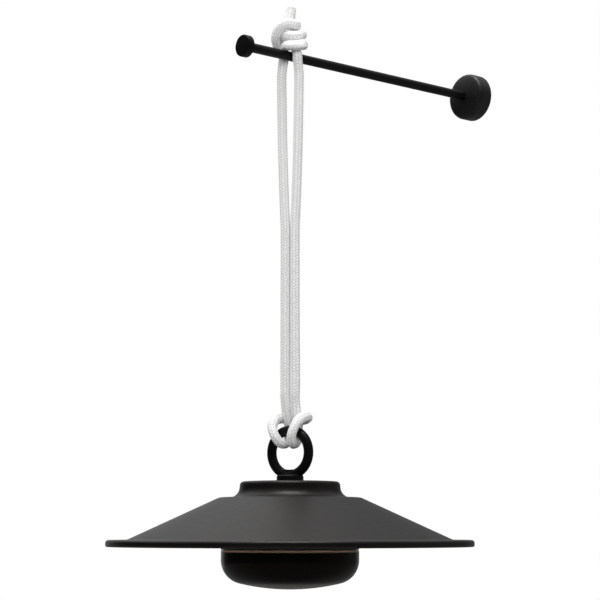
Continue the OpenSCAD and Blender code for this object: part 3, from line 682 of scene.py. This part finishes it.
shade = shade_body("shade_shell")
boolean(shade, block("port_cut", (-7.8, 7.8), THROUGH, 3.2, PORT_TURN, 0.9), "DIFFERENCE")
boolean(shade, peg("button_cut", 2.95, *THROUGH, BUTTON_TURN, CONTROL_Z), "DIFFERENCE")
sharpen(shade, 50)
finish_piece(shade, "shade")

# The flap has the shade's outside where it fills the port's cut, a plug behind it and a lip to lift it by
cover = shade_body("port_flap")
boolean(cover, block("flap_shape", (-7.5, 7.5), THROUGH, 2.9, PORT_TURN, 0.8), "INTERSECT")
boolean(cover, block("flap_plug", (-5.9, 5.4), (37.8, 40.2), 2.1, PORT_TURN, 0.5), "UNION")
boolean(cover, block("flap_lift", (4.6, 6.0), (40.6, 42.7), 1.6, PORT_TURN, 0.35), "UNION")
sharpen(cover, 40)
finish_piece(cover, "port_cover")

button = peg("button_cap", 2.8, BUTTON_FOOT, 43.6, BUTTON_TURN, CONTROL_Z, 0.6)
boolean(button, block("button_wings", (-4.3, 4.3), (BUTTON_FOOT, 36.5), 2.4, BUTTON_TURN), "UNION")
sharpen(button, 40)
finish_piece(button, "power_button")


# Eye ring (mm)
RING_BAR = 8.0
RING_Z = 23.7
NECK_R = 11.1
WEB_HALF = 3.1
WEB_CORNERS = ((-11.0, 0.5), (11.0, 0.5), (13.5, 9.7), (-13.5, 9.7))
STUD_END = -19.45


def eye_ring():
    """Ring, web and neck joined and cast as one soft-edged piece, with the stud below."""
    place = AT_LAMP @ Matrix.Translation((0, 0, HUB_Z * MM)) @ Matrix.Rotation(RING_TURN, 4, "Z")
    upright = place @ Matrix.Translation((0, 0, RING_Z * MM)) @ Matrix.Rotation(math.radians(90), 4, "X")
    circle = [(RING_R + RING_BAR / 2 * math.cos(a), RING_BAR / 2 * math.sin(a))
              for a in np.linspace(0, 2 * math.pi, 48, endpoint=False)]
    ring = lathe("ring", circle, upright, 128, closed=True)
    neck = lathe("neck", [(0, 0), (NECK_R, 0), (NECK_R, 4.2), (NECK_R - 0.7, 5.2), (0, 5.2)], place, 96)

    web_verts = [place @ (Vector((x, y, z)) * MM) for x, z in WEB_CORNERS for y in (-WEB_HALF, WEB_HALF)]
    web_faces = [(0, 2, 3, 1), (2, 4, 5, 3), (4, 6, 7, 5), (6, 0, 1, 7), (0, 6, 4, 2), (1, 3, 5, 7)]
    web = make_mesh("web", web_verts, web_faces)
    disc_r = RING_R + 0.5
    disc_profile = [(0, -WEB_HALF), (disc_r, -WEB_HALF), (disc_r, WEB_HALF), (0, WEB_HALF)]
    boolean(web, lathe("disc", disc_profile, upright, 128), "INTERSECT")
    boolean(ring, neck, "UNION")
    boolean(ring, web, "UNION")

    remesh = ring.modifiers.new("cast", "REMESH")
    remesh.mode = "VOXEL"
    remesh.voxel_size = 0.0004
    remesh.use_smooth_shade = True
    soft = ring.modifiers.new("soft", "CORRECTIVE_SMOOTH")
    soft.factor = 0.5
    soft.iterations = 6
    soft.smooth_type = "SIMPLE"
    soft.use_only_smooth = True
    apply_modifiers(ring)

    stud = lathe("stud", [(0, STUD_END), (3.4, STUD_END), (4.0, -18.8), (4.0, 0.5), (0, 0.5)], place, 48)
    with_stud = bmesh.new()
    with_stud.from_mesh(ring.data)
    with_stud.from_mesh(stud.data)
    with_stud.to_mesh(ring.data)
    with_stud.free()
    bpy.data.objects.remove(stud)
    sharpen(ring, 60)
    ring.name = "cast_eye"
    return ring


finish_piece(eye_ring(), "eye_ring")


# Wall cover: a domed cap with a round front corner, and a hole for its screw near the wall (mm)
COVER_R = 21.0
COVER_H = 17.2
COVER_EDGE = 13.2
COVER_WALL = 1.2
COVER_CORNER_R = 4.0
ROD_HOLE_R = 4.15
SMALL_EDGE = 0.3


def cover_shell():
    rise_of_dome = COVER_H - COVER_EDGE
    dome_r = (COVER_R ** 2 + rise_of_dome ** 2) / (2 * rise_of_dome)
    dome_z = COVER_H - dome_r

    def dome(inset, start):
        """The dome's arc from radius start out to its edge."""
        r = dome_r - inset
        return [(x, dome_z + math.sqrt(r * r - x * x)) for x in np.linspace(start, COVER_R - inset, 24)]

    # The dome's last points before its edge are left out, so that the corner has room for its radius
    outer = dome(0, ROD_HOLE_R + SMALL_EDGE)
    outer = outer[:-7] + outer[-1:]
    inner = dome(COVER_WALL, ROD_HOLE_R)
    corners = [(ROD_HOLE_R, inner[0][1], 0), (ROD_HOLE_R, outer[0][1] - SMALL_EDGE, 0)]
    corners += [(x, z, 0) for x, z in outer[:-1]]
    corners += [(*outer[-1], COVER_CORNER_R), (COVER_R, 0.5, SMALL_EDGE), (COVER_R - 0.5, 0, SMALL_EDGE),
                (COVER_R - COVER_WALL, 0, 0)]
    return lathe("wall_cap", rounded(corners, 10) + inner[::-1][:-1], ALONG_ROD, 160, closed=True)


wall_cover = cover_shell()
sideways = Matrix.Translation((0, -1.7 * MM, 0)) @ Matrix.Rotation(math.radians(90), 4, "Y")
screw_hole = lathe("screw_hole", [(0, -22), (1.5, -22), (1.5, -17), (0, -17)], sideways, 32)
boolean(wall_cover, screw_hole, "DIFFERENCE")
sharpen(wall_cover, 40)
finish_piece(wall_cover, "wall_cover")
wall_cover.data.materials[0] = MATERIALS["cover_coat"]


# Rod and its stop, both along the rod from the wall (mm)
STOP_R = 9.25
STOP_START = 271.1
STOP_END = 277.5
ROD_START = 1
ROD_END = 275.1
ROD_EDGE = 0.4

stop_corners = [(0, STOP_START, 0), (STOP_R, STOP_START, 0.7), (STOP_R, STOP_END, 0.9), (0, STOP_END, 0)]
stop = lathe("rod_end", rounded(stop_corners, 5), ALONG_ROD, 128)
socket_profile = [(0, 270), (ROD_R, 270), (ROD_R, ROD_END), (0, ROD_END)]
boolean(stop, lathe("socket", socket_profile, ALONG_ROD, 64), "DIFFERENCE")
sharpen(stop, 40)
finish_piece(stop, "rod_stop")

rod_profile = [(0, ROD_START), (ROD_R - ROD_EDGE, ROD_START), (ROD_R, ROD_START + ROD_EDGE),
               (ROD_R, ROD_END - ROD_EDGE), (ROD_R - ROD_EDGE, ROD_END), (0, ROD_END)]
rod = lathe("rod_bar", rod_profile, ALONG_ROD, 96)
sharpen(rod, 40)
finish_piece(rod, "support_rod")


# Cup: a shallow domed bottom, a wide corner and a grooved collar that goes up into the housing (mm)
BODY_R = 56.4
CUP_DEPTH = 34.3
CUP_DOME_R = 179.0
CUP_CORNER_R = 19.5
CUP_WALL = 2.4
CUP_TOP = -2.7
HOUSING_WALL = 2.5
FIT_GAP = 0.2
COLLAR_R = BODY_R - HOUSING_WALL - FIT_GAP
COLLAR_IN = COLLAR_R - 3
COLLAR_TOP = CUP_TOP + 8.3
SEAL_R = COLLAR_R - 1.7
SEAL_TOP = 2.0
SEAL_FOOT = -0.2
LEDGE_Z = CUP_TOP - 2.6
SCREW_Z = 3.9
RIM_EDGE = 0.4


def bowl(inset):
    """The line from the cup's side round its corner to the middle of its bottom, moved in by the inset."""
    dome_z = CUP_DOME_R - CUP_DEPTH
    corner_in = BODY_R - CUP_CORNER_R
    to_dome = CUP_DOME_R - CUP_CORNER_R
    corner_z = dome_z - math.sqrt(to_dome ** 2 - corner_in ** 2)
    turn_end = -math.pi / 2 + math.asin(corner_in / to_dome)
    corner_r = CUP_CORNER_R - inset
    bottom_r = CUP_DOME_R - inset
    corner = [(corner_in + corner_r * math.cos(a), corner_z + corner_r * math.sin(a))
              for a in np.linspace(0, turn_end, 28)]
    bottom = [(bottom_r * math.cos(a), dome_z + bottom_r * math.sin(a))
              for a in np.linspace(turn_end, -math.pi / 2, 20)[1:]]
    return corner + bottom[:-1] + [(0, bottom[-1][1])]


rim = [(COLLAR_IN, COLLAR_TOP), (COLLAR_R, COLLAR_TOP), (COLLAR_R, SEAL_TOP), (SEAL_R, SEAL_TOP),
       (SEAL_R, SEAL_FOOT), (COLLAR_R, SEAL_FOOT), (COLLAR_R, CUP_TOP), (BODY_R - RIM_EDGE, CUP_TOP),
       (BODY_R, CUP_TOP - RIM_EDGE)]
ledge = [(BODY_R - CUP_WALL, LEDGE_Z), (COLLAR_IN, LEDGE_Z)]
cup_profile = rim + bowl(0) + bowl(CUP_WALL)[::-1] + ledge
cup = lathe("cup_bowl", cup_profile, AT_LAMP, 192, closed=True)
for turn in (30, 150, 270):
    boolean(cup, peg("screw_seat", 1.5, COLLAR_R - 2.3, COLLAR_R + 2.7, turn, SCREW_Z), "DIFFERENCE")
sharpen(cup, 35)
finish_piece(cup, "glass_cup")


# Room: a pale floor below, white behind for the camera, soft light from above and behind
FLOOR_Z = -0.85
FLOOR_REACH = 2.5


def add_stage():
    """A pale floor, whiter towards its edges. It shows the lamp's shadow and throws little light back up."""
    surface = Surface("floor")
    seen = surface.add("ShaderNodeLightPath").outputs["Is Camera Ray"]
    mottle = surface.spread(surface.noise(3.0))
    thrown = surface.mix(mottle, (0.17, 0.17, 0.17), (0.19, 0.19, 0.19))
    pale = surface.mix(mottle, (0.84, 0.84, 0.84), (0.86, 0.86, 0.86))
    surface.feed("Base Color", surface.mix(seen, thrown, pale))
    surface.fix("Roughness", 0.9)
    surface.fix("Emission Color", (1.0, 1.0, 1.0, 1.0))
    away = surface.add("ShaderNodeVectorMath", operation="LENGTH")
    surface.link(surface.point, away.inputs[0])
    glow = surface.ramp(away.outputs["Value"], 1.3, 2.2, 0.15, 0.8)
    surface.feed("Emission Strength", surface.maths("MULTIPLY", seen, glow))
    corners = ((-1, -1), (1, -1), (1, 1), (-1, 1))
    verts = [(x * FLOOR_REACH, y * FLOOR_REACH, FLOOR_Z) for x, y in corners]
    floor = make_mesh("floor", verts, [(0, 1, 2, 3)], smooth=False)
    floor.data.materials.append(surface.material)


def add_world():
    """White to the camera. To all else a studio that is brightest high up behind and to the left."""
    world = bpy.data.worlds.new("world")
    bpy.context.scene.world = world
    world.use_nodes = True
    world.node_tree.nodes.clear()
    sky = Tree(world.node_tree)

    def towards(direction):
        """1 in that direction, 0 across it and -1 away from it."""
        node = sky.add("ShaderNodeVectorMath", operation="DOT_PRODUCT")
        node.inputs[1].default_value = direction
        sky.link(sky.coords.outputs["Generated"], node.inputs[0])
        return node.outputs["Value"]

    def smooth(value, low, high, at_low, at_high):
        return sky.ramp(value, low, high, at_low, at_high, "SMOOTHSTEP")

    up = towards((0.0, 0.0, 1.0))
    behind = towards((-0.759, 0.651, 0.0))
    left = towards((-0.651, -0.759, 0.0))
    backdrop = smooth(behind, 0.70, 0.93, 0.035, 0.55)
    ceiling = sky.maths("MULTIPLY", smooth(up, 0.38, 0.72, 0.0, 1.10), smooth(behind, -0.2, 0.4, 0.30, 1.0))
    level = sky.maths("ADD", backdrop, ceiling)
    level = sky.maths("MULTIPLY", level, smooth(left, -0.12, 0.10, 0.52, 1.0))
    level = sky.maths("ADD", level, smooth(left, -0.86, -0.62, 0.14, 0.0))
    studio = sky.add("ShaderNodeBackground")
    white = sky.add("ShaderNodeBackground")
    for background in (studio, white):
        background.inputs["Color"].default_value = (1.0, 1.0, 1.0, 1.0)
    sky.link(level, studio.inputs["Strength"])
    mix = sky.add("ShaderNodeMixShader")
    sky.link(sky.add("ShaderNodeLightPath").outputs["Is Camera Ray"], mix.inputs["Fac"])
    sky.link(studio.outputs["Background"], mix.inputs[1])
    sky.link(white.outputs["Background"], mix.inputs[2])
    sky.link(mix.outputs["Shader"], sky.add("ShaderNodeOutputWorld").inputs["Surface"])


def area(name, place, size, watts, mirrored=False):
    """A square lamp aimed at the middle of the part. One that isn't mirrored shows in no reflection."""
    middle = Vector((0.0, -0.2, -0.2))
    data = bpy.data.lights.new(name, "AREA")
    data.shape = "RECTANGLE"
    data.size = size
    data.size_y = size
    data.energy = watts
    light = bpy.data.objects.new(name, data)
    light.location = place
    light.rotation_euler = (middle - Vector(place)).to_track_quat("-Z", "Y").to_euler()
    light.visible_glossy = mirrored
    bpy.context.scene.collection.objects.link(light)


add_stage()
add_world()
area("top_light", (0.25, -0.45, 1.6), 0.8, 20.0, mirrored=True)
area("front_fill", (1.7, -1.8, 0.5), 2.0, 43.0)
area("left_fill", (-1.6, -1.9, 0.3), 2.0, 20.0)
area("right_fill", (2.0, 1.2, 0.3), 2.0, 16.0)
area("back_fill", (-1.8, 1.6, 0.3), 2.0, 18.0)
bpy.context.scene.view_settings.view_transform = "Standard"
